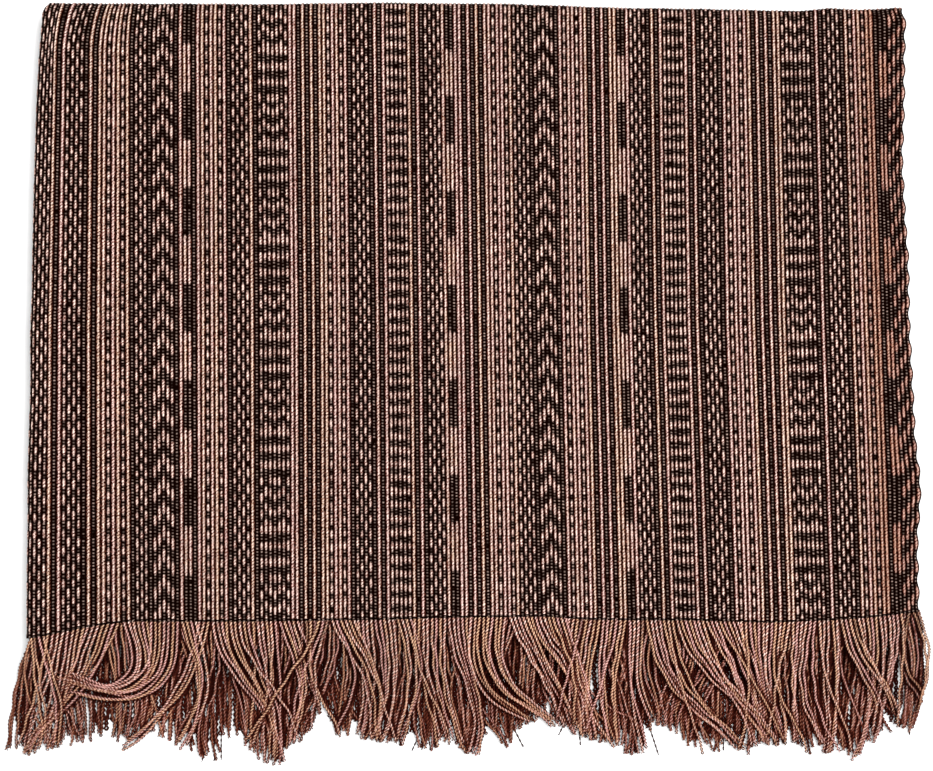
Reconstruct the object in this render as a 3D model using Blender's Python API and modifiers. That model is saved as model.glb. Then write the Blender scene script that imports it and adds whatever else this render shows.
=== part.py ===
# A woven scarf with fringed ends, folded and lying flat on a surface.
# It is folded in half along its length, then three times across, so that sixteen leaves lie on each other:
# the lengthwise fold is at -X, the selvedges at +X, the last crosswise fold at +Y, and both fringed ends at -Y.
# Units are metres with +Z up. The origin is the middle of the footprint, on the surface below the scarf.
# The sizes and tables below are in millimetres, and MM turns them into metres.

import math
import random

import bmesh
import bpy
import numpy as np

MM = 0.001

# Heights of the folded stack
STACK_HEIGHT = 21.0
SIDE_SAG = 1.0
FRINGED_EDGE_SAG = 1.2
SAG_POWER = 4

# Cloth walls and the clearance between pieces that touch
LEAF_THICKNESS = 1.2
CLEARANCE = 0.3

# Folds: the visible leaf turns down at the left with a small radius, and over the top round half of the stack
SIDE_FOLD_RADIUS = 1.9
TOP_FOLD_SHARE = 0.248
TOP_FOLD_TURN_DEG = 165
GROOVE_FLOOR = 0.3
LOWER_FOLD_STANDS_BACK = 0.8
CORNER_RELIEF = 1.6
ROUNDED_CORNER_RELIEF = 4.4

# Hidden layers: pairs of leaves seen at the edges as rounded steps
HIDDEN_LOOPS = 7
LOOP_STEPS = (0.0, 0.3, 0.7)
LOOP_GROOVE = 1.3
SELVEDGE_GROOVE = 0.9
SELVEDGE_INSET = 0.5
LOOP_BULGE_SHARE = 0.84

# How far each hidden loop stands back from the outline, from the lowest loop to the highest
# columns: left fold, right selvedges, fringed edge
LOOP_STANDS_BACK = [
    (0.9, 0.4, 1.2),
    (0.2, 1.6, 0.4),
    (0.7, 0.6, 1.0),
    (0.0, 1.1, 0.2),
    (0.8, 0.2, 0.9),
    (0.3, 1.3, 0.5),
    (0.5, 0.7, 0.3),
    (0.0, 0.3, 0.2),
]

# Outline of the visible leaf
# columns: y, x
LEFT_EDGE = [
    (-101.0, -174.2),
    (-69.6, -174.0),
    (-38.0, -173.6),
    (-6.3, -172.8),
    (25.3, -172.4),
    (57.0, -171.6),
    (88.6, -170.9),
    (112.3, -170.1),
    (128.1, -169.3),
    (144.0, -167.7),
    (149.0, -166.2),
    (151.5, -163.5),
]
RIGHT_EDGE = [
    (-91.0, 179.6),
    (-77.5, 179.2),
    (-61.7, 178.9),
    (-46.0, 180.0),
    (-38.0, 180.0),
    (-22.1, 178.0),
    (9.5, 176.4),
    (25.3, 175.6),
    (49.0, 175.2),
    (64.9, 174.0),
    (88.6, 172.8),
    (112.3, 173.6),
    (128.1, 173.6),
    (144.0, 174.0),
    (148.5, 172.8),
]
# columns: x, y
TOP_EDGE = [
    (-166.0, 151.4),
    (-117.0, 151.1),
    (-81.5, 150.8),
    (-34.0, 151.5),
    (13.4, 151.1),
    (37.2, 150.3),
    (60.9, 149.5),
    (108.4, 148.7),
    (132.1, 148.3),
    (144.0, 149.4),
    (155.8, 148.7),
    (174.0, 149.3),
]
FRINGED_EDGE = [
    (-172.4, -100.9),
    (-161.0, -98.5),
    (-149.1, -96.1),
    (-133.7, -94.1),
    (-90.6, -94.1),
    (-30.5, -93.3),
    (-7.1, -92.5),
    (32.0, -92.1),
    (47.9, -93.3),
    (92.5, -93.7),
    (120.2, -94.5),
    (147.9, -93.4),
    (163.7, -92.1),
    (179.2, -90.2),
]

# Number of mesh steps over the visible leaf
STEPS_ACROSS = 18
STEPS_ALONG = 13
SIDE_FOLD_STEPS = 4
TOP_FOLD_STEPS = 8

# Fringe strands and the narrow woven strip that holds their roots
STRIP_DEPTH = 2.0
STRIP_HEIGHT = 1.4
STRAND_SHARE = 0.66
STRAND_WIDTH_LIMIT = 2.4
STRAND_BELOW = 0.45
STRAND_ABOVE = 0.8
TIP_NARROWING = 0.75
ROOT_STEP_POWER = 1.15
BUNCH_SPACING = 17.0
BUNCH_SHIFT = 0.7
SHORTEST_BY = 2.2
LONGEST_BY = 0.8

# Two tiers of fringe, one for each end of the scarf that shows
# root_drop is how far the strip's top lies under the visible leaf's top, rest_height is where the strands lie,
# fall_length is how far out from the edge they reach that height
FRINGE_TIERS = {
    "fringe_upper": {"strands": 112, "steps": 6, "root_drop": 0.1, "rest_height": 2.7,
                     "fall_length": 37.0, "seed": 5},
    "fringe_lower": {"strands": 62, "steps": 5, "root_drop": 6.2, "rest_height": 0.8,
                     "fall_length": 26.0, "seed": 8},
}

# How the strands lie
# columns: root x, x halfway, tip x, tip y
FRINGE_FLOW = {
    "fringe_upper": [
        (-171.0, -179.5, -180.5, -140.0),
        (-160.6, -167.0, -172.0, -146.5),
        (-144.8, -152.0, -160.0, -146.5),
        (-129.0, -136.0, -145.0, -145.5),
        (-119.0, -124.0, -129.0, -145.0),
        (-105.2, -109.0, -113.5, -146.5),
        (-89.4, -88.5, -87.5, -142.5),
        (-81.5, -80.0, -78.5, -148.5),
        (-71.6, -70.6, -69.6, -144.0),
        (-53.8, -53.5, -53.0, -132.5),
        (-30.1, -28.8, -28.0, -141.0),
        (-20.2, -19.0, -18.0, -145.5),
        (-2.4, 0.5, 4.0, -143.5),
        (5.5, 10.0, 15.4, -141.0),
        (17.4, 21.5, 27.3, -134.0),
        (31.2, 33.0, 35.6, -139.0),
        (60.9, 61.8, 62.9, -142.5),
        (68.8, 71.0, 74.7, -139.0),
        (80.7, 86.5, 94.5, -143.5),
        (92.5, 99.0, 107.6, -144.5),
        (104.4, 109.0, 115.1, -143.0),
        (116.3, 119.0, 121.4, -142.5),
        (132.1, 132.2, 132.1, -143.5),
        (144.0, 142.5, 140.8, -147.0),
        (155.8, 154.5, 152.7, -148.0),
        (165.7, 166.5, 164.5, -142.0),
        (178.4, 181.0, 178.5, -136.5),
    ],
    "fringe_lower": [
        (-169.6, -182.0, -183.2, -132.5),
        (-160.6, -170.5, -175.5, -146.0),
        (-137.0, -144.0, -152.7, -147.0),
        (-113.0, -113.5, -115.0, -150.0),
        (-85.0, -83.5, -82.0, -151.5),
        (-56.0, -57.0, -60.0, -136.0),
        (-22.0, -21.0, -19.5, -147.0),
        (2.0, 3.0, 5.0, -145.0),
        (30.0, 30.0, 30.0, -136.5),
        (58.0, 59.0, 60.0, -143.5),
        (90.0, 93.0, 97.0, -145.0),
        (120.0, 120.0, 119.0, -143.0),
        (150.0, 153.0, 155.5, -149.0),
        (168.0, 174.5, 172.0, -142.0),
        (177.0, 183.4, 181.5, -137.5),
    ],
}

COLLECTION_NAME = "fringed_scarf"

# columns: red, green, blue, roughness
COLOURS = {
    "front_panel": (0.21, 0.13, 0.10, 0.9),
    "folded_layers": (0.12, 0.08, 0.065, 0.92),
    "fringe_upper": (0.42, 0.22, 0.13, 0.85),
    "fringe_lower": (0.33, 0.17, 0.10, 0.88),
}


def clear_scene():
    for thing in list(bpy.data.objects):
        bpy.data.objects.remove(thing, do_unlink=True)


def lerp(a, b, share):
    return a + (b - a) * share


def table_value(table, key, column=1):
    """Value of one column of a table at a key of its first column, on straight lines between the rows."""
    keys = [row[0] for row in table]
    values = [row[column] for row in table]
    return float(np.interp(key, keys, values))


def stack_top(s, t):
    """Height of the visible leaf: s runs from the left fold to the selvedge, t from the fringe to the top fold."""
    side = SIDE_SAG * abs(2 * s - 1) ** SAG_POWER
    front = FRINGED_EDGE_SAG * (1 - t) ** SAG_POWER
    return STACK_HEIGHT - side - front


def top_fold_radius(s):
    return TOP_FOLD_SHARE * stack_top(s, 1)


def leaf_y(s, t):
    """Length position on the flat stretch, which ends where the cloth starts to turn over the top fold."""
    x = lerp(-174.0, 176.0, s)
    return lerp(table_value(FRINGED_EDGE, x), table_value(TOP_EDGE, x) - top_fold_radius(s), t)


def leaf_x(s, y, left_margin, right_margin):
    """Width position between the left and right outlines, each moved in by its margin."""
    left = table_value(LEFT_EDGE, y) + left_margin
    right = table_value(RIGHT_EDGE, y) - right_margin
    return lerp(left, right, s)


def loft(bm, rows, closed):
    """Quads between each row of vertices and the next; closed rows are rings."""
    for lower, upper in zip(rows, rows[1:]):
        count = len(lower)
        for i in range(count if closed else count - 1):
            j = (i + 1) % count
            bm.faces.new((lower[i], lower[j], upper[j], upper[i]))


def finish_object(bm, name):
    """Turn a bmesh into a named object with its own material, in the scarf's collection."""
    bmesh.ops.recalc_face_normals(bm, faces=bm.faces)
    mesh = bpy.data.meshes.new(name)
    bm.to_mesh(mesh)
    bm.free()
    piece = bpy.data.objects.new(name, mesh)
    bpy.data.collections[COLLECTION_NAME].objects.link(piece)
    red, green, blue, roughness = COLOURS[name]
    material = bpy.data.materials.new(name)
    material.use_nodes = True
    shader = material.node_tree.nodes["Principled BSDF"]
    shader.inputs["Base Color"].default_value = (red, green, blue, 1)
    shader.inputs["Roughness"].default_value = roughness
    shader.inputs["Metallic"].default_value = 0
    mesh.materials.append(material)
    return piece


def front_panel():
    """The leaf that shows: a thin wall, turned down at the left fold and carried over the top fold."""
    bm = bmesh.new()
    side_columns = [("fold", math.radians(90) * (1 - i / SIDE_FOLD_STEPS)) for i in range(SIDE_FOLD_STEPS)]
    flat_columns = [("flat", i / STEPS_ACROSS) for i in range(STEPS_ACROSS + 1)]
    turn = math.radians(TOP_FOLD_TURN_DEG)
    lines = [("flat", j / STEPS_ALONG) for j in range(STEPS_ALONG + 1)]
    lines += [("fold", turn * (j + 1) / TOP_FOLD_STEPS) for j in range(TOP_FOLD_STEPS)]

    rows = []
    for line_kind, line_value in lines:
        t = line_value if line_kind == "flat" else 1.0
        tilt = line_value if line_kind == "fold" else 0.0
        row = []
        for kind, value in side_columns + flat_columns:
            s = value if kind == "flat" else 0.0
            radius = top_fold_radius(s)
            y = leaf_y(s, t) + radius * math.sin(tilt)
            z = stack_top(s, t) - radius * (1 - math.cos(tilt))
            x = leaf_x(s, y, SIDE_FOLD_RADIUS, 0.0)
            if kind == "fold":
                depth = SIDE_FOLD_RADIUS * (1 - math.cos(value))
                x -= SIDE_FOLD_RADIUS * math.sin(value)
                y -= depth * math.sin(tilt)
                z -= depth * math.cos(tilt)
            row.append(bm.verts.new((x * MM, y * MM, z * MM)))
        rows.append(row)
    loft(bm, rows, closed=False)

    piece = finish_object(bm, "front_panel")
    wall = piece.modifiers.new("leaf thickness", "SOLIDIFY")
    wall.thickness = LEAF_THICKNESS * MM
    wall.offset = -1
    return piece


def top_fold_reach(s, z):
    """How far the hidden layers reach past the flat stretch at height z: two rounded folds, one on the other."""
    top = stack_top(s, 1)
    outer = top_fold_radius(s)
    lower = (top - 2 * outer) / 2
    if z <= 2 * lower:
        reach = math.sqrt(max(lower ** 2 - (z - lower) ** 2, 0))
        reach *= 1 - LOWER_FOLD_STANDS_BACK / lower
        return max(reach, GROOVE_FLOOR if z > lower else 0)
    inner = outer - LEAF_THICKNESS - CLEARANCE
    rise = z - (top - outer)
    if rise > 0:
        return math.sqrt(max(inner ** 2 - rise ** 2, 0))
    return max(math.sqrt(max(inner ** 2 - rise ** 2, 0)), GROOVE_FLOOR)


def layer_levels():
    """Levels of the hidden layers from the bottom up.

    Each is its share of the loops' height, its drop under the visible leaf's top, and how far the left fold,
    the selvedges and the fringed edge stand back there.
    """
    levels = []
    for loop, stands_back in enumerate(LOOP_STANDS_BACK[:HIDDEN_LOOPS]):
        for step in LOOP_STEPS:
            hollow = 1 - math.sqrt(1 - (2 * step - 1) ** 2)
            left, right, fringed = stands_back
            levels.append(((loop + step) / HIDDEN_LOOPS, None,
                           left + LOOP_GROOVE * hollow,
                           right + SELVEDGE_INSET + SELVEDGE_GROOVE * hollow,
                           fringed + LOOP_GROOVE * hollow))
    left, right, fringed = LOOP_STANDS_BACK[HIDDEN_LOOPS]
    loop_height = 2 * SIDE_FOLD_RADIUS
    seat = LEAF_THICKNESS + CLEARANCE
    levels.append((1.0, None, left + LOOP_GROOVE, right + SELVEDGE_INSET + SELVEDGE_GROOVE,
                   fringed + LOOP_GROOVE))
    levels.append((None, LOOP_BULGE_SHARE * loop_height, left + CLEARANCE, right + SELVEDGE_INSET, fringed))
    levels.append((None, SIDE_FOLD_RADIUS + 1.5 * CLEARANCE, left, right + SELVEDGE_INSET, fringed))
    levels.append((None, SIDE_FOLD_RADIUS + CLEARANCE, seat, right + SELVEDGE_INSET, fringed))
    levels.append((None, SIDE_FOLD_RADIUS, seat, right + SELVEDGE_INSET, fringed))
    levels.append((None, seat, SIDE_FOLD_RADIUS, SELVEDGE_INSET, 0.0))
    return levels


def ring_stations():
    """Stations round the footprint, anticlockwise from the left end of the fringed edge."""
    across = [i / STEPS_ACROSS for i in range(STEPS_ACROSS + 1)]
    along = [j / STEPS_ALONG for j in range(STEPS_ALONG + 1)]
    ring = [(s, 0.0, False) for s in across]
    ring += [(1.0, t, False) for t in along[1:]]
    ring += [(s, 1.0, True) for s in reversed(across)]
    ring += [(0.0, t, False) for t in reversed(along[1:])]
    return ring


def layer_point(level, s, t, on_top_fold):
    """One point of the hidden layers' side at a level and a station of the ring."""
    share, drop, left, right, fringed = level
    top = stack_top(s, t)
    z = share * (top - 2 * SIDE_FOLD_RADIUS) if drop is None else top - drop
    upper_fold = z > stack_top(s, 1) - 2 * top_fold_radius(s)
    if s == 0 and t == 1 and upper_fold:
        left = max(left, ROUNDED_CORNER_RELIEF if on_top_fold else CORNER_RELIEF)
    y = leaf_y(s, t)
    if t == 0:
        y += fringed
    if on_top_fold:
        y += top_fold_reach(s, z)
    x = leaf_x(s, y, left, right)
    return (x * MM, y * MM, z * MM)


def folded_layers():
    """The hidden layers as one solid: its sides are lofted rings, its top follows the visible leaf."""
    bm = bmesh.new()
    stations = ring_stations()
    rings = []
    for level in layer_levels():
        rings.append([bm.verts.new(layer_point(level, *station)) for station in stations])
    loft(bm, rings, closed=True)
    bm.faces.new(list(reversed(rings[0])))

    seat = LEAF_THICKNESS + CLEARANCE
    across = STEPS_ACROSS + 1
    border = rings[-1]
    right_start = across
    fold_start = right_start + STEPS_ALONG
    left_start = fold_start + across
    top_rows = []
    for j in range(STEPS_ALONG + 1):
        t = j / STEPS_ALONG
        row = []
        for i in range(across):
            s = i / STEPS_ACROSS
            if j == 0:
                row.append(border[i])
            elif i == STEPS_ACROSS:
                row.append(border[right_start + j - 1])
            elif i == 0:
                row.append(border[left_start + STEPS_ALONG - j])
            else:
                y = leaf_y(s, t)
                x = leaf_x(s, y, SIDE_FOLD_RADIUS, SELVEDGE_INSET)
                row.append(bm.verts.new((x * MM, y * MM, (stack_top(s, t) - seat) * MM)))
        top_rows.append(row)
    loft(bm, top_rows, closed=False)
    fold_row = list(reversed(border[fold_start:fold_start + across]))
    bmesh.ops.weld_verts(bm, targetmap=dict(zip(fold_row, top_rows[-1])))
    bmesh.ops.dissolve_degenerate(bm, dist=0.00001, edges=bm.edges)
    return finish_object(bm, "folded_layers")


def fall_share(distance, fall_length):
    """One at the root, easing to nothing at the fall length."""
    u = min(distance / fall_length, 1)
    return (1 - u) ** 2 * (1 + 2 * u)


def strand_centre(name, root, length_change, u):
    """Middle of a strand at share u of its length."""
    tier = FRINGE_TIERS[name]
    flow = FRINGE_FLOW[name]
    root_x, root_y, root_z = root
    half_x = table_value(flow, root_x, 1)
    tip_x = table_value(flow, root_x, 2)
    tip_y = table_value(flow, root_x, 3) + length_change
    bend = 2 * (root_x + tip_x - 2 * half_x)
    x = root_x + (tip_x - root_x) * u + bend * u * (u - 1)
    x += BUNCH_SHIFT * math.sin(2 * math.pi * root_x / BUNCH_SPACING) * u
    y = lerp(root_y, tip_y, u)
    fall = fall_share(root_y - y, tier["fall_length"])
    return x, y, lerp(tier["rest_height"], root_z, fall)


def strand_section(bm, name, root, pitch, length_change, u, scale):
    """Three-sided section, as wide as a share of the room between the strand's neighbours there."""
    x, y, z = strand_centre(name, root, length_change, u)
    root_x, root_y, root_z = root
    before = strand_centre(name, (root_x - pitch / 2, root_y, root_z), length_change, u)[0]
    after = strand_centre(name, (root_x + pitch / 2, root_y, root_z), length_change, u)[0]
    half = min(STRAND_SHARE * (after - before), STRAND_WIDTH_LIMIT) / 2 * scale
    below = z - STRAND_BELOW * scale
    return (bm.verts.new(((x - half) * MM, y * MM, below * MM)),
            bm.verts.new(((x + half) * MM, y * MM, below * MM)),
            bm.verts.new((x * MM, y * MM, (z + STRAND_ABOVE * scale) * MM)))


def leaf_edge(s):
    """Point on the visible leaf's fringed edge, on the straight runs between its mesh stations."""
    run = min(int(s * STEPS_ACROSS), STEPS_ACROSS - 1)
    ends = []
    for station in (run / STEPS_ACROSS, (run + 1) / STEPS_ACROSS):
        y = leaf_y(station, 0)
        ends.append((leaf_x(station, y, SIDE_FOLD_RADIUS, 0.0), y, stack_top(station, 0)))
    share = s * STEPS_ACROSS - run
    return [lerp(a, b, share) for a, b in zip(*ends)]


def strip_corners(bm, name, s):
    """Four corners of the woven strip: front low, front high, back high, back low."""
    tier = FRINGE_TIERS[name]
    x, y_edge, top = leaf_edge(s)
    y_back = y_edge - CLEARANCE
    high = top - tier["root_drop"]
    low = high - STRIP_HEIGHT
    y_front = y_back - STRIP_DEPTH
    return [bm.verts.new((x * MM, y * MM, z * MM))
            for y, z in ((y_front, low), (y_front, high), (y_back, high), (y_back, low))]


def fringe(name):
    """One tier of fringe: three-sided strands that grow from the cells of a narrow strip's front."""
    tier = FRINGE_TIERS[name]
    draw = random.Random(tier["seed"])
    count = tier["strands"]
    bm = bmesh.new()
    posts = [strip_corners(bm, name, i / count) for i in range(count + 1)]
    bm.faces.new(posts[0])
    bm.faces.new(list(reversed(posts[-1])))
    for left, right in zip(posts, posts[1:]):
        for side in (1, 2, 3):
            after = (side + 1) % 4
            bm.faces.new((left[side], right[side], right[after], left[after]))
        corners = [left[0].co, right[0].co, right[1].co, left[1].co]
        root = [sum(corner[axis] for corner in corners) / len(corners) / MM for axis in range(3)]
        pitch = (right[0].co.x - left[0].co.x) / MM
        length_change = draw.uniform(-LONGEST_BY, SHORTEST_BY)
        sections = []
        for step in range(1, tier["steps"] + 1):
            u = (step / tier["steps"]) ** ROOT_STEP_POWER
            scale = 1 if step < tier["steps"] else TIP_NARROWING
            sections.append(strand_section(bm, name, root, pitch, length_change, u, scale))
        low_left, low_right, peak = sections[0]
        bm.faces.new((left[0], right[0], low_right, low_left))
        bm.faces.new((right[0], right[1], peak, low_right))
        bm.faces.new((left[1], left[0], low_left, peak))
        bm.faces.new((right[1], left[1], peak))
        loft(bm, sections, closed=True)
        bm.faces.new(sections[-1])
    return finish_object(bm, name)


def centre_footprint(pieces):
    """Shift all the pieces together so that the origin is exactly the middle of the footprint."""
    bpy.context.view_layer.update()
    corners = [corner for piece in pieces for corner in piece.bound_box]
    for axis in (0, 1):
        middle = (min(c[axis] for c in corners) + max(c[axis] for c in corners)) / 2
        for piece in pieces:
            piece.location[axis] = -middle


def main():
    clear_scene()
    collection = bpy.data.collections.new(COLLECTION_NAME)
    bpy.context.scene.collection.children.link(collection)
    pieces = [front_panel(), folded_layers()]
    pieces += [fringe(name) for name in FRINGE_TIERS]
    centre_footprint(pieces)


main()
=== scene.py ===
# The look of a woven, fringed scarf that lies folded flat: the leaf that shows, with its woven stripes, the
# edges of the hidden leaves, and the fringe of both ends, with a two-ply strand to each warp column.
# Lengths are in millimetres, until build_mesh turns them into metres in the part's frame.

import math

import bmesh
import bpy
import numpy as np
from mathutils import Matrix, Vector


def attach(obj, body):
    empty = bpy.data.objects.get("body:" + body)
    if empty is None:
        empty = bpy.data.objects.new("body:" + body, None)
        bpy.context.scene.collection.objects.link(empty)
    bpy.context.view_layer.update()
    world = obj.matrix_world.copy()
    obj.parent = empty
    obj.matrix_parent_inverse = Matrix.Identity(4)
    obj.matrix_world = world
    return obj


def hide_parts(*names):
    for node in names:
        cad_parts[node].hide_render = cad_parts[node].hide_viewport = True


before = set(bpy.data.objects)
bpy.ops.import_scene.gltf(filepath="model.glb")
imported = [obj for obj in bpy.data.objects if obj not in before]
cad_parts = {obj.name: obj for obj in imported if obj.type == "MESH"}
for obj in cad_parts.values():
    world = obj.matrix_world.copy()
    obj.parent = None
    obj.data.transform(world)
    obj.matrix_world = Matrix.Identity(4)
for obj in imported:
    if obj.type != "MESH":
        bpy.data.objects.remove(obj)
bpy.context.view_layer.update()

MM = 0.001
# from the tables' origin to the part's, which is the middle of its footprint
SHIFT_X = 0.299
SHIFT_Y = 0.184

# Sizes

STACK_HEIGHT = 21.0
SIDE_SAG = 1.0
FRINGED_EDGE_SAG = 1.2
SAG_POWER = 4
SAG_LEFT = -172.0
SAG_WIDTH = 348.0
LEAF_THICKNESS = 1.2
COLUMN_PITCH = 1.75
PICK_LENGTH = 1.25
SIDE_FOLD_RADIUS = 1.9
LEFT_ROLL_COLUMN = 0.9
TOP_FOLD_SHARE = 0.248
TOP_FOLD_TURN_DEG = 165
CLEARANCE = 0.3
# about where the fringed edge and the start of the top fold lie, as a first guess
FRINGED_Y = -93.0
TOP_Y = 145.0

# Outline of the leaf that shows
# columns: y, x
LEFT_EDGE = [
    (-101.0, -174.2), (-69.6, -174.0), (-38.0, -173.6), (-6.3, -172.8), (25.3, -172.4), (57.0, -171.6),
    (88.6, -170.9), (112.3, -170.1), (128.1, -169.3), (144.0, -167.9), (149.0, -167.4), (151.5, -166.2),
]
RIGHT_EDGE = [
    (-91.0, 179.6), (-77.5, 179.2), (-61.7, 178.9), (-46.0, 180.0), (-38.0, 180.0), (-22.1, 178.0),
    (9.5, 176.4), (25.3, 175.6), (49.0, 175.2), (64.9, 174.0), (88.6, 172.8), (112.3, 173.6),
    (128.1, 173.6), (144.0, 174.0), (148.5, 172.8),
]
# columns: x, y
TOP_EDGE = [
    (-166.0, 151.4), (-117.0, 151.1), (-81.5, 150.8), (-34.0, 151.5), (13.4, 151.1), (37.2, 150.3),
    (60.9, 149.5), (108.4, 148.7), (132.1, 148.3), (144.0, 149.4), (155.8, 148.7), (174.0, 149.3),
]
FRINGED_EDGE = [
    (-172.4, -100.9), (-161.0, -98.5), (-149.1, -96.1), (-133.7, -94.1), (-90.6, -94.1), (-30.5, -93.3),
    (-7.1, -92.5), (32.0, -92.1), (47.9, -93.3), (92.5, -93.7), (120.2, -94.5), (147.9, -93.4),
    (163.7, -92.1), (179.2, -90.2),
]

# How the warp runs: where the middle of a warp column lies at three heights
WARP_HEIGHTS = (-90, 25, 145)
# columns: warp column, then x at each height
WARP_LINES = [
    (4, -165.5, -164.7, -162.5),
    (20, -133.5, -134, -134),
    (57, -68.5, -68.7, -69.8),
    (101, 7.2, 5.5, 3.9),
    (153, 95.3, 91.5, 89.9),
    (195, 167.5, 163.6, 160),
]

# How far the warp leans to the right at the top fold, near the left corner
# columns: warp column, lean in mm
CORNER_LEAN = [(0.9, 0), (3, 2), (7, 3.8), (14, 3.3), (21, 1.5), (30, 0.5), (45, 0)]
LEAN_FROM = 131
LEAN_FULL = 151

# How the weft runs: y of three picks at places across the cloth
WEFT_PICKS = (-56, 0, 60)
# columns: x, then y at each of the three picks
WEFT_LINES = [
    (-171, 105.2, 34, -45),
    (-140, 104.5, 33, -44.3),
    (-40, 103, 33.2, -42.5),
    (40, 100.9, 32.2, -42.4),
    (82, 100, 31.4, -43),
    (155, 102.2, 33.3, -42.7),
]

# The woven stripes, one letter to a warp column from the lengthwise fold to the selvedge:
# P pale float all the way, K dark ground all the way, d and c checkers of dashes, n single column of dashes,
# a chevrons, b long blocks, w wide ladder, l narrow ladder, r slanting selvedge
# The first three columns turn down at the fold.
BANDS = ("ddd"
         "ddddPKP ddddKPKPPnPPnPK ccc K aaaaa K P bb K PPnPPnPK dddd PK wwwwwww PPKPKPK PPnPPnPK dddd KPKP "
         "lllll PKPK dddd P bb PP KPKPK PPnPPnP dddd K aaaaa K PnPPnPP KPKPK PP bb P dddd KPKP lllll PKPK "
         "dddd K PnPPnPP KPKPK PP wwwwwww KPK dddd K PnPPnPP K bb rrrr").replace(" ", "")
FOLD_COLUMNS = 3
WARP_COLUMNS = len(BANDS) - FOLD_COLUMNS

# Where the pale yarn floats in each kind of column; a column's place in its band says which row it takes
# columns: picks in a repeat, then (first pick, last pick) of each float
FULL_REPEAT = 30
DASH_REPEAT = FULL_REPEAT / 6
SHORT_REPEAT = FULL_REPEAT / 7
SLANT_REPEAT = FULL_REPEAT / 4
LADDER_SIDE = (DASH_REPEAT, (0.0, 2.6))
LADDER_OUTER = (FULL_REPEAT, (-2.0, 0.8), (3.0, 5.8), (8.0, 12.5), (15.0, 17.5), (20.0, 22.5))
LADDER_INNER = (FULL_REPEAT, (-1.0, 1.6), (4.0, 6.6), (9.0, 12.7), (15.0, 17.5), (20.0, 22.5), (25.0, 27.3))
MOTIFS = {
    "d": [(DASH_REPEAT, (-0.35, 2.25)), (DASH_REPEAT, (2.15, 4.75))],
    "c": [(SHORT_REPEAT, (0.7, 3.1)), (SHORT_REPEAT, (-1.4, 1.0)), (SHORT_REPEAT, (0.7, 3.1))],
    "n": [(SHORT_REPEAT, (-1.3, 1.2))],
    "l": [(SHORT_REPEAT, (-1.3, 1.2))],
    "a": [(SLANT_REPEAT, span) for span in
          ((-1.9, 2.1), (-3.7, 0.3), (-5.7, -1.7), (-3.7, 0.3), (-1.9, 2.1))],
    "b": [(FULL_REPEAT, (9.6, 24.9))],
    "w": [LADDER_SIDE, LADDER_OUTER, LADDER_INNER, LADDER_SIDE, LADDER_INNER, LADDER_OUTER, LADDER_SIDE],
    "r": [(SLANT_REPEAT, span) for span in ((-2.0, 1.7), (-4.2, -0.5), (-6.4, -2.7), (-8.6, -4.9))],
}
# picks inside a float, or outside it, of a column that is all pale or all dark
ALL_THE_WAY = 9.0

# Relief of the cloth: heights over its middle surface, and picks over which a float rises
CORD_CREST = 0.26
GROUND_CREST = 0.04
CORD_VALLEY = -0.3
FLOAT_RISE = 1.2
# slow puckers, longer along the warp than across it, which fade out over the quarter next to the fringe
PUCKER = 0.22
PUCKER_SEED = 11
PUCKER_SQUEEZE = 0.7
PUCKER_FULL_AT = 0.25
NOISE_GAIN = 1.6
# the corded selvedge, with a scallop to each of its slanting floats
SELVEDGE_COLUMNS = 3.5
SELVEDGE_CREST = 0.35
SELVEDGE_SCALLOP = 0.45
SCALLOP_START = 1.2
# the dark woven line along the fringed edge, which takes most of one row
DARK_LINE_ROWS = 0.6
DARK_LINE_REACH = -2 * ALL_THE_WAY

ROWS_ALONG = 193
TOP_FOLD_ROWS = 13
BAKE_MARGIN = 0.01
COLUMNS_ABOVE_ZERO = 1
PICKS_ABOVE_ZERO = 200

# Hidden leaves
HIDDEN_LOOPS = 7
LEVELS_PER_LEAF = 4
STATIONS_ACROSS = 100
STATIONS_ALONG = 60
HIDDEN_LEFT = -174.0
HIDDEN_RIGHT = 176.0
LOOP_GROOVE = 1.3
SELVEDGE_GROOVE = 0.9
SELVEDGE_INSET = 0.5
CORNER_INSET = 4.4
LOWER_FOLD_STANDS_BACK = 0.8
CLEFT_REACH = 0.3
RAGGEDNESS = 0.35
RAGGED_SEED = 21
RAGGED_SQUEEZE = 9
# how deep in a crease the painted shade sets in
CREASE_SHADE_FROM = 0.35
# columns: left fold, right selvedges, fringed edge
LOOP_STANDS_BACK = [(0.9, 0.4, 1.2), (0.2, 1.6, 0.4), (0.7, 0.6, 1.0), (0.0, 1.1, 0.2),
                    (0.8, 0.2, 0.9), (0.3, 1.3, 0.5), (0.5, 0.7, 0.3), (0.0, 0.3, 0.2)]
# rings under the side fold of the leaf that shows
# columns: drop under its top in fold radii, further drop in mm, is the ring inside the fold there
FOLD_STEPS = [(1.68, 0, False), (1.36, 0, False), (1, 0.45, False), (1, 0.3, True), (1, 0, True)]
# the weave at the edges of the hidden leaves, in picks
TOP_FOLD_PICK = -95
SELVEDGE_DRIFT = 2.7
BESIDE_FLOATS = -1.0
FRINGED, RIGHT, TOP, LEFT = range(4)


def lerp(a, b, share):
    return a + (b - a) * share


def table(rows, key, column=1):
    """A column of a table, read at keys of its first column, on straight lines between its rows."""
    return np.interp(key, [row[0] for row in rows], [row[column] for row in rows])


def smooth_noise(x, y, seed, waves=9, longest=60.0, shortest=14.0):
    """Gentle unevenness between -1 and 1: a few sine waves of random direction and length."""
    draw = np.random.default_rng(seed)
    total = np.zeros(np.broadcast(x, y).shape)
    for _ in range(waves):
        length = draw.uniform(shortest, longest)
        angle = draw.uniform(0, math.pi)
        phase = draw.uniform(0, 2 * math.pi)
        total += np.sin(2 * math.pi * (x * math.cos(angle) + y * math.sin(angle)) / length + phase)
    return total / waves * NOISE_GAIN


# Shape of the cloth

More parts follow.
